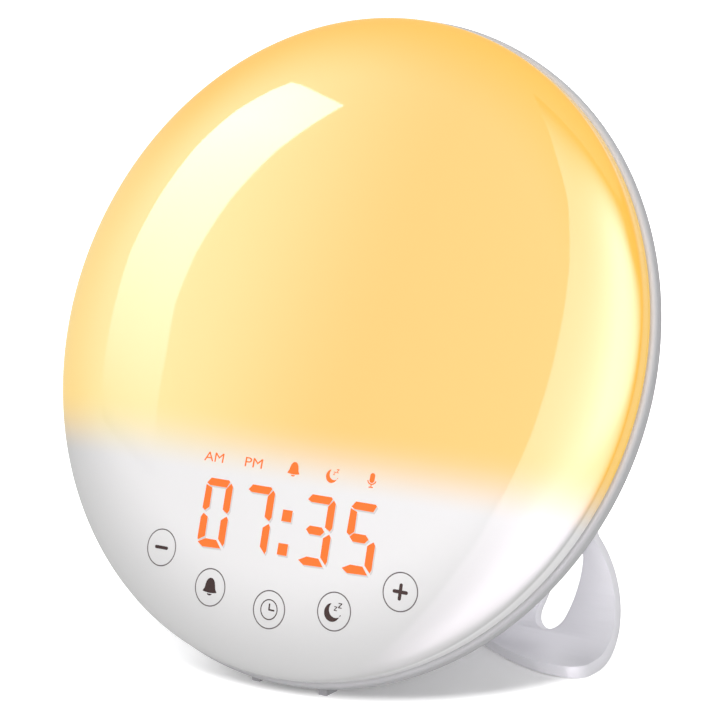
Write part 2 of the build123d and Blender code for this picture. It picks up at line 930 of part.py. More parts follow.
def stand_rear_view():
    """The stand's outline seen from behind, pushed through its whole depth."""
    half, top, high = stand_half_width, stand_top_half_width, 3 * stand_bend_radius
    face = make_face([
        ThreePointArc((half, 0), stand_waist, (top, stand_top_height)),
        outline((top, stand_top_height), (top, high), (-top, high), (-top, stand_top_height)),
        ThreePointArc((-top, stand_top_height), (-stand_waist[0], stand_waist[1]), (-half, 0)),
        Line((-half, 0), (half, 0)),
    ])
    return extrude(Plane.XZ * face, 4 * stand_bend_radius, both=True)


def stand_shoulder(side):
    """What is cut away beside the tongue: up its side, round the shoulder and out past the edge."""
    far = 3 * stand_bend_radius
    corners = [(tongue_half_width, -far), (tongue_half_width, shoulder[1]), shoulder, shoulder_end]
    rest = [shoulder_end, (far, shoulder_end[1]), (far, -far), (tongue_half_width, -far)]
    edge = FilletPolyline(*[(side * x, y) for x, y in corners], radius=shoulder_round)
    return make_face([edge, outline(*[(side * x, y) for x, y in rest])])


def stand_arch():
    """The low arch between the two lobes of the foot, which follows a cosine."""
    front = 2 * stand_bend_radius
    middle, swing = (arch_front - arch_top) / 2, (arch_front + arch_top) / 2
    curve = []
    for step in range(-6, 7):
        share = step / 6
        curve.append((share * arch_half_width, middle - swing * cos(pi * share)))
    return make_face([Spline(*curve), outline(curve[-1], (arch_half_width, front),
                                              (-arch_half_width, front), curve[0])])


def stand():
    body = stand_bar() & stand_rear_view()
    front_edges = body.faces().filter_by(Axis.Y).sort_by(Axis.Z)[0].edges().sort_by(Axis.X)
    body = fillet([front_edges[0], front_edges[-1]], stand_corner)
    for side in (-1, 1):
        body -= from_bend_centre(shoulder_angle, stand_shoulder(side))
        slot = Rot(0, 0, 90 + side * slot_tilt) * SlotOverall(slot_length, slot_width)
        body -= from_bend_centre(slot_angle, Pos(side * slot_x, 0) * slot)
        body -= pad_block(side)
    return body - from_bend_centre(arch_angle, stand_arch())


def pad_block(side):
    return block(side * pad_x - pad_length / 2, side * pad_x + pad_length / 2,
                 stand_bend_y - pad_width, stand_bend_y, 0, pad_thickness)


def stand_pads():
    return [pad_block(side) for side in (-1, 1)]


# ---- Assembly ----

in_clock_frame = {
    "diffuser_dome": diffuser_dome(),
    "rear_housing": rear_housing(),
    "case_screws": case_screws(),
    "light_tray": light_tray(),
    "light_shield": light_shield(),
    "led_board": led_board(),
    "led_packages": led_packages(),
    "lamp_screws": lamp_screws(),
    "display_board": display_board(),
    "display_block": display_block(),
    "display_segments": display_segments(),
    "indicator_guides": indicator_guides(),
    "touch_pillars": touch_pillars(),
    "display_screws": display_screws(),
    "main_board": main_board(),
    "main_board_screws": main_board_screws(),
    "main_board_chips": main_board_chips(),
    "capacitors": capacitors(),
    "display_ribbon": display_ribbon(),
    "speaker_gasket": speaker_gasket(),
    "speaker_basket": speaker_basket(),
    "speaker_cone": speaker_cone(),
    "speaker_magnet": speaker_magnet(),
    "speaker_screws": speaker_screws(),
    "port_board": port_board(),
    "port_screws": port_screws(),
    "power_inlet": power_inlet(),
    "inlet_pin": inlet_pin(),
    "usb_socket": usb_socket(),
    "usb_tongue": usb_tongue_piece(),
    "button_board": button_board(),
    "tact_switches": tact_switches(),
    "button_board_screws": button_board_screws(),
    "battery_door": battery_door(),
    "coin_cell": coin_cell(),
    "cell_holder": cell_holder(),
    "cell_contacts": cell_contacts(),
}
for name, (x, y) in zip(("light_button", "sound_button", "radio_button"), button_points()):
    in_clock_frame[name] = push_button(x, y)


def placed(place, shape):
    """A shape, or every shape of a list, moved to its place as one plain solid or compound."""
    if isinstance(shape, (list, Compound)):
        return Compound([place * solid for part in shape for solid in part.solids()])
    return place * shape


pieces = {name: placed(to_floor_frame, shape) for name, shape in in_clock_frame.items()}
pieces["front_feet"] = placed(Pos(), front_feet())
pieces["stand"] = stand()
pieces["stand_pads"] = placed(Pos(), stand_pads())

# The finished clock's origin is on the floor, under the middle of its length and width.
boxes = [shape.bounding_box() for shape in pieces.values()]
middle_y = (min(box.min.Y for box in boxes) + max(box.max.Y for box in boxes)) / 2

os.makedirs("parts", exist_ok=True)
for name, shape in pieces.items():
    export_step(placed(Pos(0, -middle_y, 0), shape), f"parts/{name}.step")
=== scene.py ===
from math import cos, hypot, pi, radians, sin, sqrt

import bmesh
import bpy
from mathutils import Matrix, Vector


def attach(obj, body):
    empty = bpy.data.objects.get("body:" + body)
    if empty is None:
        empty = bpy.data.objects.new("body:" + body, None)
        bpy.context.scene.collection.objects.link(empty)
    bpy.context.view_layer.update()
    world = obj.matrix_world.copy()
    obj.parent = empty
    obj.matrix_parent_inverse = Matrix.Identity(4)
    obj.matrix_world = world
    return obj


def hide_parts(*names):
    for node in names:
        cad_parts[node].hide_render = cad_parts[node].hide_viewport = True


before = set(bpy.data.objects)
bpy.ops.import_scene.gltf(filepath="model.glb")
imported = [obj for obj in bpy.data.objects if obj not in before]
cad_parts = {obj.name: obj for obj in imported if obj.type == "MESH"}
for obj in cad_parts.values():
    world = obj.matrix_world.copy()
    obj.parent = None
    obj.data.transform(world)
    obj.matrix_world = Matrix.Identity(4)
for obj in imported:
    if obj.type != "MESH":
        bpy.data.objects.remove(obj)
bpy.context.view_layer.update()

# ---------------------------------------------------------------- how the clock stands
# The case leans back on its feet and stand. Its own axes have X to the right, Y up the lit
# face and Z out of the face, from the centre of the seam between dome and housing, in metres.
recline = radians(20.8)
seam_centre = Vector((0, -0.0117676, 0.0847933))
case_axes = Matrix.Translation(seam_centre) @ Matrix.Rotation(pi / 2 - recline, 4, "X")


# ---------------------------------------------------------------- camera
# A long lens, to the right of the clock and a little above it, aimed a little to the right of
# the seam's centre and below it.
def toward(turn, rise=0.0):
    """The way from the clock to a place at a turn and a rise from straight in front of it."""
    return Vector((sin(turn) * cos(rise), -cos(turn) * cos(rise), sin(rise)))


def placed(name, data):
    """A new object in the scene."""
    made = bpy.data.objects.new(name, data)
    bpy.context.scene.collection.objects.link(made)
    return made


camera_turn, camera_rise = radians(33.145), radians(11.341)
camera_distance, camera_aside, camera_drop = 0.6268282, 0.0046698, 0.003698
lens_length, sensor_width = 122.507, 36
camera_back = toward(camera_turn, camera_rise)
camera_right = Vector((cos(camera_turn), sin(camera_turn), 0))
camera_up = camera_back.cross(camera_right)
camera = placed("camera", bpy.data.cameras.new("camera"))
camera.data.sensor_width, camera.data.lens = sensor_width, lens_length
camera.data.clip_start, camera.data.clip_end = 0.05, 20
camera.matrix_world = Matrix.Translation(
    seam_centre + camera_aside * camera_right - camera_drop * camera_up + camera_distance * camera_back
) @ Matrix((camera_right, camera_up, camera_back)).transposed().to_4x4()
bpy.context.scene.camera = camera
bpy.context.scene.view_settings.view_transform = "Standard"


# ---------------------------------------------------------------- studio
# A white table in a white room, with lamps overhead, at the right and behind, and two soft
# boxes that are only seen as reflections in glossy plastic.
def feed(tree, made, **inputs):
    """Gives a node its inputs, by name or by number as in _0: values, or other nodes' outputs."""
    for name, value in inputs.items():
        socket = made.inputs[int(name[1:])] if name[1:].isdigit() else made.inputs[name.replace("_", " ")]
        if isinstance(value, bpy.types.NodeSocket):
            tree.links.new(value, socket)
        else:
            socket.default_value = value
    return made


def node(tree, kind, settings=None, **inputs):
    """A new node with its settings and its inputs."""
    made = tree.nodes.new(kind)
    for name, value in (settings or {}).items():
        setattr(made, name, value)
    return feed(tree, made, **inputs)


def maths(tree, operation, *numbers):
    """The result of one step of arithmetic."""
    inputs = {f"_{place}": number for place, number in enumerate(numbers)}
    return node(tree, "ShaderNodeMath", {"operation": operation}, **inputs).outputs[0]


def product(tree, *numbers):
    """The product of several numbers."""
    made = numbers[0]
    for number in numbers[1:]:
        made = maths(tree, "MULTIPLY", made, number)
    return made


def between(tree, value, start, end, low, high, way="SMOOTHSTEP"):
    """A value that runs from low at start to high at end."""
    return node(tree, "ShaderNodeMapRange", {"interpolation_type": way}, Value=value, From_Min=start,
                From_Max=end, To_Min=low, To_Max=high).outputs[0]


def white_to_the_lens(tree):
    """1 for a ray from the lens, or from a glossy or clear surface, and 0 for any other."""
    path = node(tree, "ShaderNodeLightPath")
    seen = path.outputs["Is Camera Ray"]
    for other in ("Is Glossy Ray", "Is Transmission Ray"):
        seen = maths(tree, "MAXIMUM", seen, path.outputs[other])
    return seen


room_strength = 0.42
room = bpy.data.worlds.new("room")
room.use_nodes = True
tree = room.node_tree
room_light = feed(tree, tree.nodes["Background"], Color=(1, 1, 1, 1), Strength=room_strength)
backdrop = node(tree, "ShaderNodeBackground", Color=(1, 1, 1, 1))
either = node(tree, "ShaderNodeMixShader", _0=white_to_the_lens(tree), _1=room_light.outputs[0],
              _2=backdrop.outputs[0])
tree.links.new(either.outputs[0], tree.nodes["World Output"].inputs["Surface"])
bpy.context.scene.world = room

# The table returns a plain light to the clock. To the lens it adds a painted glow: weak inside an ellipse,
# where the clock's shadow shows, and weaker towards the right, so that the shadow shows darker there; plain
# white outside it and behind the clock.
table_grey, seen_grey = (0.6, 0.6, 0.6, 1), (0.9, 0.9, 0.9, 1)
shadow_centre, shadow_half = (-0.0130, 0.0250), (0.0760, 0.0700)
shadow_rim, shadow_back = (0.875, 1.01), (0.022, 0.042)
shadow_left, shadow_right, glow_left, glow_right = -0.038, 0.004, 0.40, 0.15
table_finish = bpy.data.materials.new("white table")
table_finish.use_nodes = True
tree = table_finish.node_tree
tree.nodes.remove(tree.nodes["Principled BSDF"])
plain = node(tree, "ShaderNodeBsdfDiffuse", Color=table_grey)
shaded = node(tree, "ShaderNodeBsdfDiffuse", Color=seen_grey)
spot = node(tree, "ShaderNodeTexCoord").outputs["Object"]
spread = node(tree, "ShaderNodeMapping", Vector=spot, Scale=(1 / shadow_half[0], 1 / shadow_half[1], 0),
              Location=(-shadow_centre[0] / shadow_half[0], -shadow_centre[1] / shadow_half[1], 0))
away = node(tree, "ShaderNodeVectorMath", {"operation": "LENGTH"}, _0=spread.outputs[0])
axes = node(tree, "ShaderNodeSeparateXYZ", Vector=spot)
# Less painted glow towards the right, so the shadow shows darker there.
depth = between(tree, axes.outputs["X"], shadow_left, shadow_right, glow_left, glow_right)
around = between(tree, away.outputs["Value"], *shadow_rim, depth, 1.0)
behind = between(tree, axes.outputs["Y"], *shadow_back, 0.0, 1.0)
glow = node(tree, "ShaderNodeEmission", Strength=maths(tree, "MAXIMUM", around, behind))
lifted = node(tree, "ShaderNodeAddShader", _0=shaded.outputs[0], _1=glow.outputs[0])
either = node(tree, "ShaderNodeMixShader", _0=white_to_the_lens(tree), _1=plain.outputs[0],
              _2=lifted.outputs[0])
tree.links.new(either.outputs[0], tree.nodes["Material Output"].inputs["Surface"])

table_half = 4
table_mesh = bpy.data.meshes.new("table")
table_mesh.from_pydata([(x * table_half, y * table_half, 0) for x, y in ((-1, -1), (1, -1), (1, 1), (-1, 1))],
                       [], [(0, 1, 2, 3)])
table_mesh.materials.append(table_finish)
table = placed("table", table_mesh)
table.visible_glossy = False


def lamp(name, turn, rise, distance, size, power):
    """A square lamp aimed at the clock, at a turn and a rise in degrees from its front."""
    light = placed(name, bpy.data.lights.new(name, "AREA"))
    light.data.size, light.data.energy = size, power
    way = toward(radians(turn), radians(rise))
    light.matrix_world = (Matrix.Translation(seam_centre + way * distance)
                          @ way.to_track_quat("Z", "Y").to_matrix().to_4x4())
    light.visible_glossy = False


lamp("overhead_lamp", turn=-5, rise=50, distance=1.6, size=0.9, power=8.5)
lamp("side_lamp", turn=40, rise=12, distance=2.2, size=0.8, power=24)
lamp("rear_lamp", turn=-160, rise=30, distance=2.2, size=1.0, power=20)


def soft_box(name, corners, faces, strength):
    """A glowing card that only glossy plastic sees, with its strength drawn by a function."""
    finish = bpy.data.materials.new(name)
    finish.use_nodes = True
    tree = finish.node_tree
    tree.nodes.remove(tree.nodes["Principled BSDF"])
    axes = node(tree, "ShaderNodeSeparateXYZ", Vector=node(tree, "ShaderNodeTexCoord").outputs["Object"])
    shine = node(tree, "ShaderNodeEmission", Color=(1.0, 0.90, 1.0, 1), Strength=strength(tree, axes.outputs))
    tree.links.new(shine.outputs[0], tree.nodes["Material Output"].inputs["Surface"])
    mesh = bpy.data.meshes.new(name)
    mesh.from_pydata(corners, [], faces)
    mesh.materials.append(finish)
    card = placed(name, mesh)
    card.location = seam_centre
    card.visible_camera = card.visible_diffuse = card.visible_shadow = False
    card.visible_transmission = card.visible_volume_scatter = False


# An upright card to the left of the clock, one metre away: across to the right, and up. It
# grows brighter upwards.
narrow_turn = radians(-51)
narrow_edge = [
    (-0.060, 0.180), (0.104, 0.180), (0.087, 0.244), (0.072, 0.342), (0.055, 0.398), (0.050, 0.463),
    (0.053, 0.540), (0.068, 0.640), (0.083, 0.694), (0.107, 0.783), (0.049, 0.791), (-0.025, 0.807),
    (-0.063, 0.811), (-0.089, 0.774), (-0.110, 0.735), (-0.126, 0.701), (-0.138, 0.644), (-0.145, 0.594),
    (-0.141, 0.493), (-0.134, 0.409), (-0.110, 0.338), (-0.091, 0.270), (-0.076, 0.202)]
narrow_run, narrow_strength = (0.17, 0.68), 11.8
narrow_across = Vector((cos(narrow_turn), sin(narrow_turn), 0))
soft_box("narrow_soft_box",
         [toward(narrow_turn) + narrow_across * u + Vector((0, 0, v)) for u, v in narrow_edge],
         [range(len(narrow_edge))],
         lambda tree, axes: between(tree, axes["Z"], *narrow_run, 0.0, narrow_strength, "LINEAR"))

# A curved card in front of the clock and to its right, one metre away: the turn in degrees of
# its left edge at each height. It is weaker below its waist, and fades at its ends.
wide_edge = [(-20.0, -15.6), (0.0, -15.6), (0.40, -14.3), (0.70, -14.3), (0.89, -15.2), (1.03, -17.4),
             (1.19, -19.3), (1.33, -20.8), (1.60, -23.0)]
wide_end, wide_columns = 105, 24
wide_row = wide_columns + 1
wide_corners = [
    toward(radians(left + (wide_end - left) * column / wide_columns)) + Vector((0, 0, height))
    for height, left in wide_edge for column in range(wide_row)]
wide_faces = [(first, first + 1, first + wide_row + 1, first + wide_row)
              for row in range(len(wide_edge) - 1)
              for first in range(row * wide_row, row * wide_row + wide_columns)]


def wide_strength(tree, axes):
    """The wide card's strength over its turn in radians and its height in metres."""
    left, low_peak, peak, fade_start = [radians(turn) for turn in (-16, -2, 10, 12)]
    foot_end, top_end = radians(100), radians(45)
    waist_run, end_run, top_run, foot_run = (0.20, 0.42), (0.5, 1.2), (1.55, 0.90), (-0.75, -0.05)
    low_strength, high_strength, foot_share = (2.4, 9.0), (4.6, 13.0), 0.2
    height = axes["Z"]
    turn = maths(tree, "ARCTAN2", axes["X"], maths(tree, "MULTIPLY", axes["Y"], -1.0))
    upper = between(tree, turn, left, peak, *high_strength)
    lower = between(tree, turn, left, low_peak, *low_strength)
    right_end = between(tree, height, *end_run, foot_end, top_end)
    return product(tree, between(tree, height, *waist_run, lower, upper),
                   between(tree, turn, fade_start, right_end, 1.0, 0.0),
                   between(tree, height, *top_run, 0.0, 1.0),
                   between(tree, height, *foot_run, foot_share, 1.0))


soft_box("wide_soft_box", wide_corners, wide_faces, wide_strength)


# ---------------------------------------------------------------- diffuser dome
# One moulding of opal plastic with a polished face, turned about the clock's axis: a shallow crown, a short
# straight side, and a skirt that drops into the housing. The lamps inside light it amber above the shield
# that stands over the display; that glow is painted light, in its colour and its emission.
dome_radius, dome_side, dome_rise, dome_power = 0.086, 0.004, 0.0075, 2.7
inner_radius, inner_side, inner_rise = 0.0822, 0.0025, 0.0070
skirt_radius, skirt_depth = 0.0842, 0.005
foot_chamfer, foot_step = 0.0003, 0.002
turned_steps, sharp_angle = 360, 0.6

# Where the dome's colours run into each other: from white up to the painted glow, from the face to the side,
# across the glow from pale to amber on a slant, out to its deeper, dimmer edge, which is weaker at the left,
# and from the white zone's middle out to its edge, where shade is painted into the white.
glow_run, side_run = (-0.039, -0.021), (0.0045, 0.0035)
amber_run, amber_slope = (-0.057, 0.020), -0.15
edge_run, left_run = (0.066, 0.088), (-0.085, -0.05)
painted_rim_shade_run, painted_shade_centre = (0.062, 0.090), (0, 0.004, 0)


def skin_height(radius):
    """The dome's face above the seam, at a distance from the clock's axis."""
    return dome_side + dome_rise * sqrt(max(0, 1 - (radius / dome_radius) ** dome_power))


def crown(radius, side, rise, count):
    """Points of a crown from its pole to its side, closer together towards the side."""
    return [(radius * sin(turn) ** (2 / dome_power), side + rise * cos(turn))
            for turn in [pi / 2 * step / count for step in range(count + 1)]]


def paint(red, green, blue):
    """A colour written as 0 to 255, as a shader takes it."""
    return tuple((c / 255 / 12.92 if c < 10.3 else ((c / 255 + 0.055) / 1.055) ** 2.4)
                 for c in (red, green, blue)) + (1,)


def mixed(tree, share, first, second, way="MIX"):
    """The first colour where the share is 0 and the second where it is 1."""
    return node(tree, "ShaderNodeMix", {"data_type": "RGBA", "blend_type": way}, Factor=share, _6=first,
                _7=second).outputs[2]


def new_finish(name):
    """A new material, its node tree and its shader."""
    finish = bpy.data.materials.new(name)
    finish.use_nodes = True
    return finish, finish.node_tree, finish.node_tree.nodes["Principled BSDF"]


def case_place(tree):
    """Where a point of a surface lies in the case's own axes."""
    back = case_axes.inverted()
    return node(tree, "ShaderNodeMapping", Vector=node(tree, "ShaderNodeTexCoord").outputs["Object"],
                Location=back.to_translation(), Rotation=back.to_euler()).outputs[0]


def new_tree(name, kind, takes, gives):
    """A node tree with named inputs and outputs of given types, and what its inputs give."""
    made = bpy.data.node_groups.new(name, kind)
    for way, sockets in (("INPUT", takes), ("OUTPUT", gives)):
        for label, held in sockets.items():
            made.interface.new_socket(label, in_out=way, socket_type="NodeSocket" + held)
    return made, node(made, "NodeGroupInput").outputs


def evened(tree, shape, distance, angle):
    """A shape with its doubles merged, smooth except at edges sharper than an angle."""
    closed = node(tree, "GeometryNodeMergeByDistance", Geometry=shape, Distance=distance)
    smooth = node(tree, "GeometryNodeSetShadeSmooth", {"domain": "FACE"}, Geometry=closed.outputs[0])
    bend = node(tree, "GeometryNodeInputMeshEdgeAngle")
    soft = node(tree, "FunctionNodeCompare", {"operation": "LESS_THAN"}, A=bend.outputs["Unsigned Angle"],
                B=angle)
    return node(tree, "GeometryNodeSetShadeSmooth", {"domain": "EDGE"}, Geometry=smooth.outputs[0],
                Shade_Smooth=soft.outputs[0]).outputs[0]


turned, given = new_tree(
    "turned moulding", "GeometryNodeTree",
    {"Profile": "Geometry", "Steps": "Int", "Sharp Angle": "Float", "Material": "Material"},
    {"Moulding": "Geometry"})
points = node(turned, "GeometryNodeAttributeDomainSize", {"component": "MESH"}, Geometry=given["Profile"])
count = points.outputs["Point Count"]
sheet = node(turned, "GeometryNodeMeshGrid", Size_X=1.0, Size_Y=1.0,
             Vertices_X=maths(turned, "ADD", given["Steps"], 1.0), Vertices_Y=count)
where = node(turned, "GeometryNodeInputPosition").outputs[0]
share = node(turned, "ShaderNodeSeparateXYZ", _0=where)
along = maths(turned, "ADD", share.outputs["Y"], 0.5)
index = maths(turned, "ROUND", maths(turned, "MULTIPLY", along, maths(turned, "SUBTRACT", count, 1.0)))
drawn = node(turned, "GeometryNodeSampleIndex", {"data_type": "FLOAT_VECTOR"}, Geometry=given["Profile"],
             Value=where, Index=index)
swung = node(turned, "ShaderNodeVectorRotate", {"rotation_type": "Z_AXIS"}, Vector=drawn.outputs[0],
             Angle=maths(turned, "MULTIPLY", share.outputs["X"], 2 * pi))
rolled = node(turned, "GeometryNodeSetPosition", Geometry=sheet.outputs["Mesh"], Position=swung.outputs[0])
coated = node(turned, "GeometryNodeSetMaterial", Material=given["Material"],
              Geometry=evened(turned, rolled.outputs[0], 1e-6, given["Sharp Angle"]))
node(turned, "NodeGroupOutput", _0=coated.outputs[0])


def grow(obj, tree, **inputs):
    """Gives an object a Geometry Nodes tree, with the tree's inputs set by their names."""
    modifier = obj.modifiers.new(tree.name, "NODES")
    modifier.node_group = tree
    sockets = {s.name: s.identifier for s in tree.interface.items_tree if s.in_out == "INPUT"}
    for name, value in inputs.items():
        modifier[sockets[name.replace("_", " ")]] = value


def plain_mesh(obj):
    """The plain mesh that an object and its modifiers make. The object is used up."""
    bpy.context.view_layer.update()
    made = bpy.data.meshes.new_from_object(obj.evaluated_get(bpy.context.evaluated_depsgraph_get()))
    obj.modifiers.clear()
    bpy.data.objects.remove(obj)
    return made


def outward(mesh):
    """Doubles merged and every face of a closed mesh turned to point outwards."""
    work = bmesh.new()
    work.from_mesh(mesh)
    bmesh.ops.remove_doubles(work, verts=work.verts, dist=1e-7)
    bmesh.ops.recalc_face_normals(work, faces=work.faces)
    work.to_mesh(mesh)
    work.free()
    return mesh


def piece(name, mesh, place, body):
    """A finished piece: its place put into its mesh, and riding on its body."""
    mesh.transform(place)
    mesh.name = name
    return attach(placed(name, mesh), body)


def turned_piece(name, outline, finish):
    """A piece of the case turned from an outline: distances from the axis, and heights."""
    profile = bpy.data.meshes.new(name + " profile")
    profile.from_pydata([(r, 0, z) for r, z in outline], [], [])
    blank = placed(name + " profile", profile)
    grow(blank, turned, Steps=turned_steps, Sharp_Angle=sharp_angle, Material=finish)
    return piece(name, outward(plain_mesh(blank)), case_axes, "clock_body")


opal, tree, skin = new_finish("opal dome")
right, up, forward = node(tree, "ShaderNodeSeparateXYZ", Vector=case_place(tree)).outputs
flat = node(tree, "ShaderNodeCombineXYZ", X=right, Y=up).outputs[0]
reach = node(tree, "ShaderNodeVectorMath", {"operation": "LENGTH"}, _0=flat).outputs["Value"]
off_middle = node(tree, "ShaderNodeVectorMath", {"operation": "DISTANCE"}, _0=flat,
                  _1=painted_shade_centre).outputs["Value"]
# The amber glow is painted light: a darker base colour and an emission, pale to amber on a slant, deeper and
# dimmer at the rim.
lit = between(tree, up, *glow_run, 0.0, 1.0)
on_side = between(tree, forward, *side_run, 0.0, 1.0)
slant = maths(tree, "MULTIPLY_ADD", up, amber_slope, right)
face_amber = mixed(tree, between(tree, slant, *amber_run, 0.0, 1.0), paint(250, 230, 158),
                   paint(250, 203, 116))
at_edge = between(tree, reach, *edge_run, 0.0, between(tree, right, *left_run, 0.5, 1.0))
deep_amber = mixed(tree, at_edge, face_amber, paint(251, 193, 78))
amber = mixed(tree, on_side, deep_amber, paint(255, 204, 84))
# The white zone darkens towards its rim: painted shade in its colour.
milk_with_painted_shade = mixed(tree, between(tree, off_middle, *painted_rim_shade_run, 0.0, 1.0), (0.80, 0.79, 0.795, 1),
                  (0.57, 0.57, 0.57, 1))
milk = mixed(tree, on_side, milk_with_painted_shade, (0.86, 0.86, 0.86, 1))
body = mixed(tree, lit, mixed(tree, lit, milk, amber), (0.42, 0.42, 0.42, 1), "MULTIPLY")
feed(tree, skin, Base_Color=body, Emission_Color=mixed(tree, lit, (0, 0, 0, 1), amber),
     Emission_Strength=0.6, Roughness=0.5, Specular_IOR_Level=0.1, Coat_Weight=1, Coat_Roughness=0.03)

outside = crown(dome_radius, dome_side, dome_rise, 90)
inside = crown(inner_radius, inner_side, inner_rise, 30)[::-1]
foot = [(dome_radius, foot_step), (dome_radius, foot_chamfer), (dome_radius - foot_chamfer, 0),
        (skirt_radius, 0), (skirt_radius, -skirt_depth), (inner_radius, -skirt_depth)]
dome = turned_piece("lit_dome", outside + foot + inside, opal)
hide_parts("diffuser_dome")


# ---------------------------------------------------------------- time display
# Amber light from the display's bars, shining through the thin wall of the dome: four
# seven-bar digits, a colon, AM and PM, and the signs for alarm, sleep and sound.
def mottled(tree, scale, first, second):
    """A colour that drifts between two others in fine specks."""
    specks = node(tree, "ShaderNodeTexNoise", Vector=case_place(tree), Scale=scale)
    return mixed(tree, specks.outputs[0], first, second)


display_light, tree, skin = new_finish("display light")
feed(tree, skin, Base_Color=paint(120, 60, 30), Emission_Strength=0.9, Roughness=0.5,
     Emission_Color=mottled(tree, 900.0, paint(255, 108, 10), paint(255, 116, 20)),
     Specular_IOR_Level=0.1, Coat_Weight=0.4, Coat_Roughness=0.03)

# A grey for the painted shade beside the bars.
bar_shade, tree, skin = new_finish("bar shade")
feed(tree, skin, Base_Color=mottled(tree, 600.0, (0.60, 0.59, 0.58, 1), (0.64, 0.63, 0.62, 1)),
     Roughness=0.5, Specular_IOR_Level=0.1, Coat_Weight=1)

# The seven bars of one digit, in millimetres from its top left corner.
bars = {
    "top": [(0.2, -1.4), (1.3, 0), (6.9, 0), (7.4, -0.4), (6.6, -1.95), (1.3, -1.95)],
    "upper right": [(7.8, -0.7), (8.5, -1.5), (8.65, -7.5), (8.1, -8.45), (6.5, -7.6), (6.4, -2.4)],
    "lower right": [(8.1, -9.15), (8.7, -9.9), (8.75, -15.9), (8.35, -16.8), (6.6, -15.1), (6.5, -10.3)],
    "bottom": [(0.3, -16.6), (2.6, -15.45), (6.1, -15.45), (7.8, -17.4), (2.0, -17.65)],
    "lower left": [(0.75, -9.15), (2.25, -10.0), (2.35, -14.9), (0.3, -16.1), (0.05, -15.6), (0.05, -10.2)],
    "upper left": [(0.1, -1.8), (2.1, -2.5), (2.25, -7.4), (1.0, -8.45), (0.1, -7.9)],
    "middle": [(1.1, -8.8), (2.1, -7.75), (5.6, -7.75), (6.6, -8.75), (5.6, -9.85), (2.2, -9.85)],
}
lit_bars = {
    0: ("top", "upper right", "lower right", "bottom", "lower left", "upper left"),
    7: ("top", "upper right", "lower right"),
    3: ("top", "upper right", "middle", "lower right", "bottom"),
    5: ("top", "upper left", "middle", "lower right", "bottom"),
}
digit_top = -39.4
digit_lefts = {0: -25.3, 7: -12.15, 3: 6.1, 5: 18.95}
colon = [(1.0, -45.8), (1.35, -54.2)]
colon_side = 2.95
shade_shift = 0.42

# The small signs: where each has its middle, or its lower left corner, width and height.
sign_size, bell_at, moon_at, microphone_at = 3.7, (0.6, -34.0), (12.2, -34.0), (23.6, -33.7)
words = {"AM": (-27.4, -35.3, 6.1, 2.4), "PM": (-14.5, -35.2, 5.4, 2.4)}


def moved(loop, x, y, size=1.0):
    """An outline made larger and moved."""
    return [(x + size * u, y + size * v) for u, v in loop]


def round_loop(x, y, across, up, count=40, start=0.0, end=360.0):
    """Points of an ellipse, or of a stretch of it, about a centre."""
    whole = end - start == 360
    turns = [radians(start + (end - start) * i / (count if whole else count - 1)) for i in range(count)]
    return [(x + across * cos(t), y + up * sin(t)) for t in turns]


def bell(x, y, size):
    """An alarm bell with its clapper, one unit high."""
    half = [(0.50, -0.30), (0.46, -0.22), (0.38, -0.10), (0.34, 0.10), (0.29, 0.28), (0.20, 0.41),
            (0.08, 0.49)]
    cup = half + [(-u, v) for u, v in half[::-1]] + [(-0.25, -0.34), (0, -0.36), (0.25, -0.34)]
    clapper = round_loop(0, -0.40, 0.17, 0.10, 12, 180, 360)
    return [moved(cup, x, y, size), moved(clapper, x, y, size)]


def letter_z(x, y, size):
    """A letter of sleep, one unit high."""
    strokes = [(0, 1), (0.8, 1), (0.8, 0.82), (0.26, 0.18), (0.8, 0.18), (0.8, 0), (0, 0), (0, 0.18),
               (0.54, 0.82), (0, 0.82)]
    return moved(strokes[::-1], x, y, size)


def moon(x, y, size):
    """A crescent moon that opens to the upper right, with two letters of sleep beside it."""
    outer = round_loop(-0.06, -0.06, 0.46, 0.46, 30, 112, 352)
    inner = round_loop(0.14, 0.10, 0.40, 0.40, 24, 326, 138)
    return [moved(outer + inner, x, y, size), letter_z(x + 0.02 * size, y + 0.04 * size, 0.22 * size),
            letter_z(x + 0.24 * size, y + 0.20 * size, 0.26 * size)]


def microphone(x, y, size):
    """A microphone in its cradle, one unit high."""
    head = round_loop(0, 0.30, 0.19, 0.20, 14, 0, 180) + round_loop(0, 0.02, 0.19, 0.19, 14, 180, 360)
    cradle = round_loop(0, 0.04, 0.36, 0.34, 16, 190, 350) + round_loop(0, 0.04, 0.28, 0.26, 16, 350, 190)
    stem = [(-0.04, -0.30), (0.04, -0.30), (0.04, -0.42), (0.17, -0.42), (0.17, -0.50), (-0.17, -0.50),
            (-0.17, -0.42), (-0.04, -0.42)]
    return [moved(loop, x, y, size) for loop in (head, cradle, stem)]


def flat_mesh(loops):
    """Closed outlines in millimetres, filled as one flat mesh, with the loops inside cut out."""
    drawing = bpy.data.curves.new("drawing", "CURVE")
    drawing.dimensions, drawing.fill_mode = "2D", "BOTH"
    for loop in loops:
        line = drawing.splines.new("POLY")
        line.points.add(len(loop) - 1)
        for point, (u, v) in zip(line.points, loop):
            point.co = (u, v, 0, 1)
        line.use_cyclic_u = True
    return plain_mesh(placed("drawing", drawing))


def word_mesh(word, left, bottom, width, height):
    """A word in capitals, as a flat mesh that fills a box given in millimetres."""
    text = bpy.data.curves.new("word", "FONT")
    text.body, text.fill_mode = word, "FRONT"
    mesh = plain_mesh(placed("word", text))
    xs, ys = [v.co.x for v in mesh.vertices], [v.co.y for v in mesh.vertices]
    for v in mesh.vertices:
        v.co.x = left + (v.co.x - min(xs)) / (max(xs) - min(xs)) * width
        v.co.y = bottom + (v.co.y - min(ys)) / (max(ys) - min(ys)) * height
    return mesh


def gathered(meshes):
    """Flat meshes joined in one working mesh, with their doubles merged."""
    work = bmesh.new()
    for mesh in meshes:
        work.from_mesh(mesh)
        bpy.data.meshes.remove(mesh)
    bmesh.ops.remove_doubles(work, verts=work.verts, dist=1e-4)
    return work


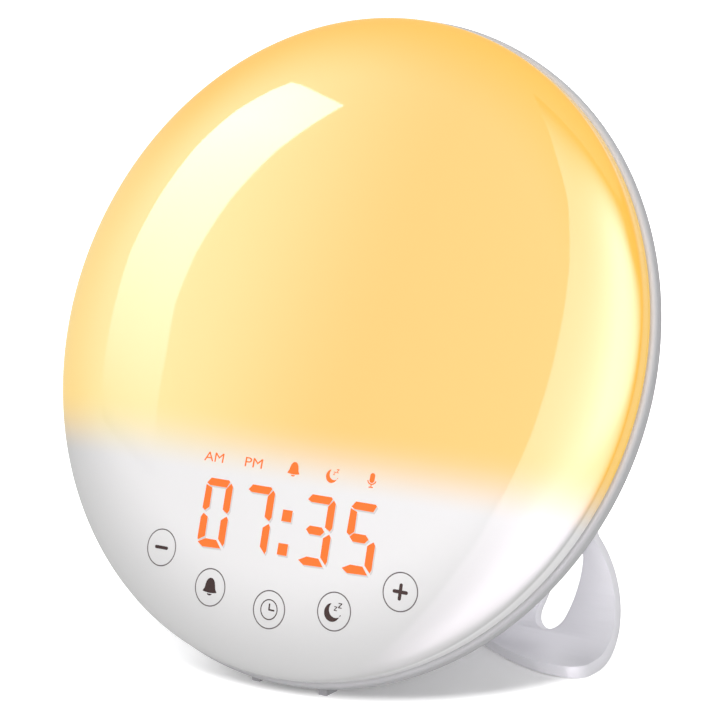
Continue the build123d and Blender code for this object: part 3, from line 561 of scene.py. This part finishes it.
def thickened(work, finish, underside, face):
    """A flat working mesh made solid, its underside and its face placed by two functions."""
    lower = list(work.verts)
    upper = [g for g in bmesh.ops.extrude_face_region(work, geom=work.faces[:])["geom"]
             if isinstance(g, bmesh.types.BMVert)]
    for group, place in ((lower, underside), (upper, face)):
        for v in group:
            v.co = place(v.co)
    bmesh.ops.recalc_face_normals(work, faces=work.faces)
    made = bpy.data.meshes.new("marks")
    work.to_mesh(made)
    work.free()
    made.materials.append(finish)
    return made


def on_dome(spot, lift):
    """A place given in millimetres on the flat, put over the dome's face by a lift in metres."""
    u, v = spot.x / 1000, spot.y / 1000
    return u, v, skin_height(hypot(u, v)) + lift


def lay_on_dome(meshes, finish, cell=1.5, proud=0.00003, sunk=0.0003):
    """Flat shapes, cut into small cells, bent onto the dome's face and given a thickness."""
    work = gathered(meshes)
    for axis in ((1, 0, 0), (0, 1, 0)):
        reached = [v.co.dot(Vector(axis)) for v in work.verts]
        for step in range(int(min(reached) // cell), int(max(reached) // cell) + 1):
            bmesh.ops.bisect_plane(work, geom=work.verts[:] + work.edges[:] + work.faces[:],
                                   plane_co=Vector(axis) * step * cell, plane_no=axis, dist=1e-5)
    return thickened(work, finish, lambda spot: on_dome(spot, -sunk), lambda spot: on_dome(spot, proud))


half = colon_side / 2
dot = [(-half, -half), (half, -half), (half, half), (-half, half)]
bar_loops = [moved(bars[bar], digit_lefts[digit], digit_top) for digit in lit_bars for bar in lit_bars[digit]]
bar_loops += [moved(dot, *place) for place in colon]
digits = piece("lit_digits", lay_on_dome([flat_mesh([loop]) for loop in bar_loops], display_light),
               case_axes, "clock_body")

# A thin grey sheet on the dome to the lower right of each bar: painted shade, where the bar's slot would
# throw it.
shades = [flat_mesh([moved(loop, shade_shift, -shade_shift)]) for loop in bar_loops]
shade = piece("digit_shades", lay_on_dome(shades, bar_shade, proud=0.00001), case_axes, "clock_body")

sign_loops = bell(*bell_at, sign_size) + moon(*moon_at, sign_size) + microphone(*microphone_at, sign_size)
signs = [flat_mesh([loop]) for loop in sign_loops] + [word_mesh(word, *words[word]) for word in words]
indicators = piece("lit_signs", lay_on_dome(signs, display_light), case_axes, "clock_body")


# ---------------------------------------------------------------- touch keys
# Dark ink printed on the dome over the five touch pads: a thin ring round each, and the signs
# for less, alarm, time, sleep and more.
def ink_finish(name, dark, light):
    """Printing ink, less glossy than the dome under it."""
    finish, tree, skin = new_finish(name)
    feed(tree, skin, Base_Color=mottled(tree, 2500.0, paint(*dark), paint(*light)), Roughness=0.45,
         Specular_IOR_Level=0.1, Coat_Weight=0.12, Coat_Roughness=0.05)
    return finish


key_ink = ink_finish("key ink", (52, 38, 36), (66, 50, 48))
ring_ink = ink_finish("ring ink", (92, 86, 86), (104, 98, 98))
key_circle, key_first, key_step, key_count = 0.0695, radians(-121.6), radians(15.8), 5
ring_radius, ring_line, ring_depth = 0.0047, 0.0003, 0.00006

rings, given = new_tree(
    "rings on the dome", "GeometryNodeTree",
    {"Geometry": "Geometry", "Count": "Int", "Circle": "Float", "First Angle": "Float",
     "Angle Step": "Float", "Ring Radius": "Float", "Line Width": "Float", "Line Depth": "Float",
     "Dome Radius": "Float", "Dome Side": "Float", "Dome Rise": "Float", "Dome Power": "Float",
     "Material": "Material"},
    {"Rings": "Geometry"})
number = node(rings, "GeometryNodeInputIndex").outputs[0]
angle = maths(rings, "MULTIPLY_ADD", number, given["Angle Step"], given["First Angle"])
arm = node(rings, "ShaderNodeCombineXYZ", X=given["Circle"])
centre = node(rings, "ShaderNodeVectorRotate", {"rotation_type": "Z_AXIS"}, Vector=arm.outputs[0],
              Angle=angle)
centres = node(rings, "GeometryNodePoints", Count=given["Count"], Position=centre.outputs[0])
circle = node(rings, "GeometryNodeCurvePrimitiveCircle", Resolution=72, Radius=given["Ring Radius"])
line = node(rings, "GeometryNodeCurvePrimitiveQuadrilateral", Width=given["Line Width"],
            Height=given["Line Depth"])
ring = node(rings, "GeometryNodeCurveToMesh", Curve=circle.outputs[0], Profile_Curve=line.outputs[0])
copies = node(rings, "GeometryNodeInstanceOnPoints", Points=centres.outputs[0], Instance=ring.outputs[0])
real = node(rings, "GeometryNodeRealizeInstances", Geometry=copies.outputs[0])
where = node(rings, "GeometryNodeInputPosition").outputs[0]
right, up, forward = node(rings, "ShaderNodeSeparateXYZ", _0=where).outputs
flat = node(rings, "ShaderNodeCombineXYZ", X=right, Y=up).outputs[0]
reach = node(rings, "ShaderNodeVectorMath", {"operation": "LENGTH"}, _0=flat).outputs["Value"]
share = maths(rings, "POWER", maths(rings, "DIVIDE", reach, given["Dome Radius"]), given["Dome Power"])
root = maths(rings, "SQRT", maths(rings, "SUBTRACT", 1.0, share))
height = maths(rings, "MULTIPLY_ADD", root, given["Dome Rise"], given["Dome Side"])
lift = node(rings, "ShaderNodeCombineXYZ", Z=height)
bent = node(rings, "GeometryNodeSetPosition", Geometry=real.outputs[0], Offset=lift.outputs[0])
inked = node(rings, "GeometryNodeSetMaterial", Geometry=bent.outputs[0], Material=given["Material"])
node(rings, "NodeGroupOutput", _0=inked.outputs[0])

blank = placed("key rings", bpy.data.meshes.new("key rings"))
grow(blank, rings, Count=key_count, Circle=key_circle, First_Angle=key_first, Angle_Step=key_step,
     Ring_Radius=ring_radius, Line_Width=ring_line, Line_Depth=ring_depth, Dome_Radius=dome_radius,
     Dome_Side=dome_side, Dome_Rise=dome_rise, Dome_Power=dome_power, Material=ring_ink)
key_rings = piece("key_rings", outward(plain_mesh(blank)), case_axes, "clock_body")


def stroke(x, y, length, width, upright=False):
    """A short stroke with round ends."""
    run, end = (length - width) / 2, width / 2
    loop = round_loop(run, 0, end, end, 9, -90, 90) + round_loop(-run, 0, end, end, 9, 90, 270)
    return moved([(-v, u) if upright else (u, v) for u, v in loop], x, y)


def key_centre(number):
    """The middle of a key, in millimetres."""
    turn = key_first + number * key_step
    return 1000 * key_circle * cos(turn), 1000 * key_circle * sin(turn)


# The signs on the keys, in millimetres: strokes have a length and a width, the clock's hands a
# shift of their middle from the key's.
less_stroke, more_stroke = (4.4, 0.85), (4.2, 0.9)
alarm_size, alarm_lift, sleep_size, sleep_shift = 4.5, 0.2, 5.0, -0.2
dial_outer, dial_inner, up_hand, side_hand = 2.6, 2.32, (1.7, 0.42), (1.9, 0.42)
up_hand_shift, side_hand_shift = (0, 0.7), (0.75, -0.05)
less, alarm, hour, sleep, more = [key_centre(number) for number in range(key_count)]
key_signs = [[stroke(*less, *less_stroke)],
             *[[loop] for loop in bell(alarm[0], alarm[1] + alarm_lift, alarm_size)],
             [round_loop(*hour, dial_outer, dial_outer), round_loop(*hour, dial_inner, dial_inner)[::-1]],
             [stroke(hour[0] + up_hand_shift[0], hour[1] + up_hand_shift[1], *up_hand, upright=True)],
             [stroke(hour[0] + side_hand_shift[0], hour[1] + side_hand_shift[1], *side_hand)],
             *[[loop] for loop in moon(sleep[0] + sleep_shift, sleep[1], sleep_size)],
             [stroke(*more, *more_stroke)], [stroke(*more, *more_stroke, upright=True)]]
printed = piece("key_signs", lay_on_dome([flat_mesh(loops) for loops in key_signs], key_ink), case_axes,
                "clock_body")


# ---------------------------------------------------------------- rear housing
# A deep bowl moulded in white plastic, polished at its rim, with the sockets, the buttons, the
# battery door and the speaker's holes in its flat back. Four screws hold it to the tray.
surface_gives = {"Colour": "Color", "Roughness": "Float", "Height": "Float"}
moulded, given = new_tree(
    "moulded surface", "ShaderNodeTree",
    {"Vector": "Vector", "Colour": "Color", "Shade": "Color", "Grain": "Float", "Roughness": "Float",
     "Spread": "Float"}, surface_gives)
clouds = node(moulded, "ShaderNodeTexNoise", Vector=given["Vector"], Scale=22.0, Detail=2.0)
grain = node(moulded, "ShaderNodeTexNoise", Vector=given["Vector"], Scale=given["Grain"], Detail=3.0)
rough = maths(moulded, "MULTIPLY_ADD", maths(moulded, "SUBTRACT", grain.outputs[0], 0.5), given["Spread"],
              given["Roughness"])
node(moulded, "NodeGroupOutput", _0=mixed(moulded, clouds.outputs[0], given["Colour"], given["Shade"]),
     _1=rough, _2=grain.outputs[0])


def relief(tree, height, depth):
    """The lean of a surface whose relief has a height map and a depth."""
    return node(tree, "ShaderNodeBump", Height=height, Distance=depth).outputs[0]


def moulded_finish(name, colour, shade, roughness, grain=2500.0, spread=0.1, depth=0.00002, shine=0.5):
    """Moulded plastic or rubber: a faint drift of its colour and a fine grain in its surface."""
    finish, tree, skin = new_finish(name)
    surface = node(tree, "ShaderNodeGroup", {"node_tree": moulded}, Colour=paint(*colour),
                   Vector=node(tree, "ShaderNodeTexCoord").outputs["Object"], Shade=paint(*shade),
                   Grain=grain, Roughness=roughness, Spread=spread).outputs
    feed(tree, skin, Base_Color=surface["Colour"], Roughness=surface["Roughness"],
         Normal=relief(tree, surface["Height"], depth), Specular_IOR_Level=shine)
    return finish


even_faces, given = new_tree(
    "even faces", "GeometryNodeTree",
    {"Geometry": "Geometry", "Merge Distance": "Float", "Sharp Angle": "Float"}, {"Geometry": "Geometry"})
node(even_faces, "NodeGroupOutput",
     _0=evened(even_faces, given["Geometry"], given["Merge Distance"], given["Sharp Angle"]))


def dress(names, finish):
    """Plain parts take a finish, smooth across their rounded faces and crisp at their edges."""
    for name in names:
        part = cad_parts[name]
        part.data.materials.clear()
        part.data.materials.append(finish)
        grow(part, even_faces, Merge_Distance=2e-6, Sharp_Angle=0.5)


housing_white = moulded_finish("housing white", (214, 214, 217), (209, 209, 213), 0.45, depth=0.000008,
                               shine=0.1)
dress(["rear_housing"], housing_white)

# The rim's lip, turned finely over the housing's own, grey with painted shade where it meets the dome, fading
# to a paler grey further back. The bowl behind it is an arc about a centre, given as its distance from the
# axis and its height.
rim_radius, rim_top, rim_round, rim_band, rim_end = 0.0873, -0.0004, 0.0012, -0.0034, -0.012
lip_radius, lip_waist, waist_depth = 0.0846, -0.0020, 0.0006
skin_gap, skin_depth = 0.00002, 0.0005
bowl_centre, bowl_radius = (0.00514366, 0.03122872), 0.08915611
round_steps, bowl_steps = 10, 16


def bowl_skin(height):
    """The bowl's distance from the clock's axis at a height."""
    return bowl_centre[0] + sqrt(bowl_radius ** 2 - (height - bowl_centre[1]) ** 2)


# Painted shade: grey next to the dome, fading towards the back.
rim_painted_shade = moulded_finish("rim painted shade", (192, 192, 194), (188, 188, 190), 0.45, depth=0.000004, shine=0.1)
tree = rim_painted_shade.node_tree
surface = [n for n in tree.nodes if n.type == "GROUP"][0]
axes = node(tree, "ShaderNodeSeparateXYZ", Vector=case_place(tree))
shade_fades_back = between(tree, axes.outputs["Z"], -0.0045, -0.0115, 0.0, 1.0)
feed(tree, tree.nodes["Principled BSDF"],
     Base_Color=mixed(tree, shade_fades_back, surface.outputs["Colour"], paint(212, 212, 215)))

lip = [(lip_radius, rim_top - skin_depth), (lip_radius, rim_top + skin_gap)]
for step in range(round_steps + 1):
    turn = pi / 2 * step / round_steps
    lip.append((rim_radius - rim_round + (rim_round + skin_gap) * sin(turn),
                rim_top - rim_round + (rim_round + skin_gap) * cos(turn)))
for step in range(bowl_steps + 1):
    height = rim_band + (rim_end - rim_band) * step / bowl_steps
    lip.append((bowl_skin(height) + skin_gap, height))
lip += [(bowl_skin(rim_end) - skin_depth, rim_end), (rim_radius - skin_depth, rim_band),
        (rim_radius - waist_depth, lip_waist), lip[0]]
rim = turned_piece("housing_rim", lip, rim_painted_shade)

# ---------------------------------------------------------------- stand
# One bent plate of white plastic that slides into the back: a foot with two lobes, a bend
# behind the clock, and a tongue. Its edges are softly rounded by the mould.
stand_white = moulded_finish("white stand", (240, 239, 244), (236, 235, 240), 0.42, shine=0.35)
edge_round, edge_angle, flat_angle = 0.0004, radians(35), radians(0.2)
stand_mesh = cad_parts["stand"].data.copy()
stand_mesh.materials.clear()
stand_mesh.materials.append(stand_white)
work = bmesh.new()
work.from_mesh(stand_mesh)
bmesh.ops.remove_doubles(work, verts=work.verts, dist=2e-6)
bmesh.ops.dissolve_limit(work, angle_limit=flat_angle, verts=work.verts, edges=work.edges)
work.to_mesh(stand_mesh)
work.free()
stand = piece("bent_stand", stand_mesh, Matrix.Identity(4), "stand")
rounding = stand.modifiers.new("rounded edges", "BEVEL")
rounding.width, rounding.segments, rounding.angle_limit = edge_round, 2, edge_angle
rounding.harden_normals = True
stand.data.shade_smooth()
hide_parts("stand")

# ---------------------------------------------------------------- light tray and shield
# A white tray that closes the housing behind the lamps, and the bent shield that keeps their
# light off the display. Both are moulded in white ABS; the shield is cemented to the tray.
inner_white = moulded_finish("inner white plastic", (238, 238, 233), (231, 231, 226), 0.55)
dress(["light_tray", "light_shield"], inner_white)

# ---------------------------------------------------------------- lamp board
# A printed board of fibreglass with its row of lamps: small white packages filled with yellow
# phosphor, soldered flat. Two screws hold it to the tray.
board_green, tree, skin = new_finish("green board")
tracks = node(tree, "ShaderNodeTexBrick", Vector=case_place(tree), Scale=160.0, Mortar_Size=0.035,
              Color1=paint(14, 92, 52), Color2=paint(10, 84, 46), Mortar=paint(38, 126, 74)).outputs
feed(tree, skin, Base_Color=tracks["Color"], Normal=relief(tree, tracks["Fac"], 0.00003), Roughness=0.35)

lamp_yellow, tree, skin = new_finish("lamp phosphor")
phosphor = mottled(tree, 3000.0, paint(252, 226, 120), paint(246, 208, 92))
feed(tree, skin, Base_Color=phosphor, Emission_Color=phosphor, Emission_Strength=0.4, Roughness=0.3)

plated, given = new_tree(
    "plated surface", "ShaderNodeTree",
    {"Vector": "Vector", "Colour": "Color", "Shade": "Color", "Roughness": "Float", "Spread": "Float"},
    surface_gives)
stains = node(plated, "ShaderNodeTexNoise", Vector=given["Vector"], Scale=400.0, Detail=3.0)
stretched = node(plated, "ShaderNodeMapping", Vector=given["Vector"], Scale=(1.0, 1.0, 12.0))
lines = node(plated, "ShaderNodeTexNoise", Vector=stretched.outputs[0], Scale=900.0, Detail=2.0)
rough = maths(plated, "MULTIPLY_ADD", maths(plated, "SUBTRACT", lines.outputs[0], 0.5), given["Spread"],
              given["Roughness"])
node(plated, "NodeGroupOutput", _0=mixed(plated, stains.outputs[0], given["Colour"], given["Shade"]),
     _1=rough, _2=lines.outputs[0])


def plated_finish(name, colour, shade, roughness, spread=0.2, depth=0.000004):
    """Bare or plated metal, with faint stains and the fine lines left by drawing it."""
    finish, tree, skin = new_finish(name)
    surface = node(tree, "ShaderNodeGroup", {"node_tree": plated}, Vector=case_place(tree),
                   Colour=paint(*colour), Shade=paint(*shade), Roughness=roughness, Spread=spread).outputs
    feed(tree, skin, Base_Color=surface["Colour"], Roughness=surface["Roughness"],
         Normal=relief(tree, surface["Height"], depth), Metallic=1.0)
    return finish


screw_zinc = plated_finish("zinc screws", (186, 187, 190), (164, 165, 170), 0.32)
dress(["led_board"], board_green)
dress(["led_packages"], lamp_yellow)
dress(["lamp_screws"], screw_zinc)

# ---------------------------------------------------------------- display block
# A board of lamps under a white block whose slots guide the light of each bar up to the dome,
# with clear guides filled in orange. Soft pillars beside it carry the touch pads to the dome.
dress(["display_board"], board_green)
dress(["display_block", "touch_pillars"], inner_white)
dress(["display_segments", "indicator_guides"], display_light)
dress(["display_screws"], screw_zinc)

# ---------------------------------------------------------------- main board
# The clock's board, screwed to posts in the housing, with moulded chips, two capacitors in
# bare aluminium cans, and a flat grey cable up to the display.
chip_black = moulded_finish("chip black", (34, 34, 36), (27, 27, 29), 0.5, grain=5000.0)
can_aluminium = plated_finish("can aluminium", (206, 208, 212), (190, 192, 197), 0.28)
cable_grey, tree, skin = new_finish("flat cable")
wires = node(tree, "ShaderNodeTexWave", {"wave_profile": "SIN", "bands_direction": "X"},
             Vector=case_place(tree), Scale=314.0, Distortion=0.0).outputs["Fac"]
feed(tree, skin, Base_Color=mixed(tree, wires, paint(150, 152, 156), paint(196, 197, 200)),
     Normal=relief(tree, wires, 0.00008), Roughness=0.4)
dress(["main_board"], board_green)
dress(["main_board_chips"], chip_black)
dress(["capacitors"], can_aluminium)
dress(["display_ribbon"], cable_grey)
dress(["main_board_screws"], screw_zinc)

# ---------------------------------------------------------------- speaker
# A small loudspeaker behind the round field of holes: a black pressed basket on a foam ring,
# a ribbed paper cone and a ferrite magnet. Screws hold its basket to the back.
basket_black = moulded_finish("basket black", (40, 40, 43), (33, 33, 36), 0.38, grain=1500.0)
ring_foam = moulded_finish("ring foam", (26, 26, 26), (18, 18, 18), 0.9, grain=1800.0, depth=0.0002)
magnet_grey = moulded_finish("magnet ferrite", (74, 74, 78), (62, 62, 66), 0.65, grain=900.0, depth=0.00005)
cone_centre = (0, 0.003, 0)
cone_paper, tree, skin = new_finish("cone paper")
from_cone = node(tree, "ShaderNodeVectorMath", {"operation": "SUBTRACT"}, _0=case_place(tree),
                 _1=cone_centre).outputs[0]
ribs = node(tree, "ShaderNodeTexWave", {"wave_type": "RINGS", "rings_direction": "Z"}, Vector=from_cone,
            Scale=160.0, Distortion=0.0)
pulp = node(tree, "ShaderNodeTexNoise", Vector=from_cone, Scale=2200.0, Detail=3.0)
feed(tree, skin, Base_Color=mixed(tree, pulp.outputs[0], paint(34, 34, 37), paint(24, 24, 26)),
     Normal=relief(tree, ribs.outputs["Fac"], 0.0002), Roughness=0.85)
dress(["speaker_gasket"], ring_foam)
dress(["speaker_basket"], basket_black)
dress(["speaker_cone"], cone_paper)
dress(["speaker_magnet"], magnet_grey)
dress(["speaker_screws"], screw_zinc)

# ---------------------------------------------------------------- sockets
# The power inlet with its pin, and a USB socket of folded nickel-plated steel round a black
# tongue, soldered to a small board that two screws hold inside the back.
socket_black = moulded_finish("socket black", (36, 36, 38), (30, 30, 32), 0.45)
contact_nickel = plated_finish("contact nickel", (208, 206, 198), (190, 188, 180), 0.25)
dress(["port_board"], board_green)
dress(["power_inlet", "usb_tongue"], socket_black)
dress(["inlet_pin", "usb_socket"], contact_nickel)
dress(["port_screws"], screw_zinc)

# ---------------------------------------------------------------- push buttons
# Three caps of pale grey plastic in a row on the back, each pushing a switch on its own board,
# with its sign printed on it: a lamp, a note and a mast with its waves.
button_grey = moulded_finish("button grey", (205, 205, 210), (199, 199, 205), 0.4)
dress(["button_board"], board_green)
dress(["tact_switches"], chip_black)
dress(["button_board_screws"], screw_zinc)
dress(["light_button", "sound_button", "radio_button"], button_grey)
button_face, button_row, button_gap = 0.043, 0.044, 0.016
print_scale, print_sunk, print_thick = 0.00135, 0.00003, 0.05


def arc_band(x, y, radius, line, start, end, count=14):
    """Part of a ring, from one angle in degrees to another."""
    outer, inner = radius + line / 2, radius - line / 2
    return round_loop(x, y, outer, outer, count, start, end) \
        + round_loop(x, y, inner, inner, count, end, start)


def print_on_button(name, loops, across, body):
    """A sign in units of its own, printed flat on a button and read from behind the clock."""
    mesh = thickened(gathered([flat_mesh([loop]) for loop in loops]), key_ink, lambda spot: spot,
                     lambda spot: spot + Vector((0, 0, print_thick)))
    place = Matrix.Translation((across, button_row, print_sunk - button_face)) \
        @ Matrix.Rotation(pi, 4, "Y") @ Matrix.Scale(print_scale, 4)
    sign = piece(name, mesh, case_axes @ place, body)


bulb = round_loop(0, 0.35, 0.95, 0.95, 18, -52, 232) + [(-0.42, -0.75), (0.42, -0.75)]
cap = [(-0.40, -1.35), (0.40, -1.35), (0.40, -0.95), (-0.40, -0.95)]
print_on_button("lamp_sign", [bulb, cap], -button_gap, "light_button")
note = [(0.10, -0.95), (0.34, -0.95), (0.34, 0.65), (1.05, 0.30), (1.05, 0.62), (0.34, 1.30), (0.10, 1.30)]
print_on_button("note_sign", [note, round_loop(-0.14, -0.95, 0.50, 0.38, 16)], 0, "sound_button")
mast = [(-0.12, -1.3), (0.12, -1.3), (0.12, 0.1), (-0.12, 0.1)]
knob = round_loop(0, 0.25, 0.27, 0.27, 12)
waves = [arc_band(0, 0.25, radius, 0.22, start, start + 80)
         for radius in (0.75, 1.25) for start in (-40, 140)]
print_on_button("mast_sign", [mast, knob, *waves], button_gap, "radio_button")

# ---------------------------------------------------------------- battery bay
# A coin cell in a white holder with two sprung contacts, under a round door of the housing's
# plastic that a coin turns by the slot across it.
dress(["battery_door"], housing_white)
dress(["coin_cell", "cell_contacts"], contact_nickel)
dress(["cell_holder"], inner_white)

# ---------------------------------------------------------------- case screws, feet and pads
# Four screws deep in the back close the case. Two feet of soft grey rubber are pressed into
# the housing's lower edge, and two thin pads are glued under the stand.
foot_grey = moulded_finish("foot rubber", (172, 172, 174), (160, 160, 163), 0.75, grain=1600.0)
dress(["case_screws"], screw_zinc)
dress(["front_feet", "stand_pads"], foot_grey)
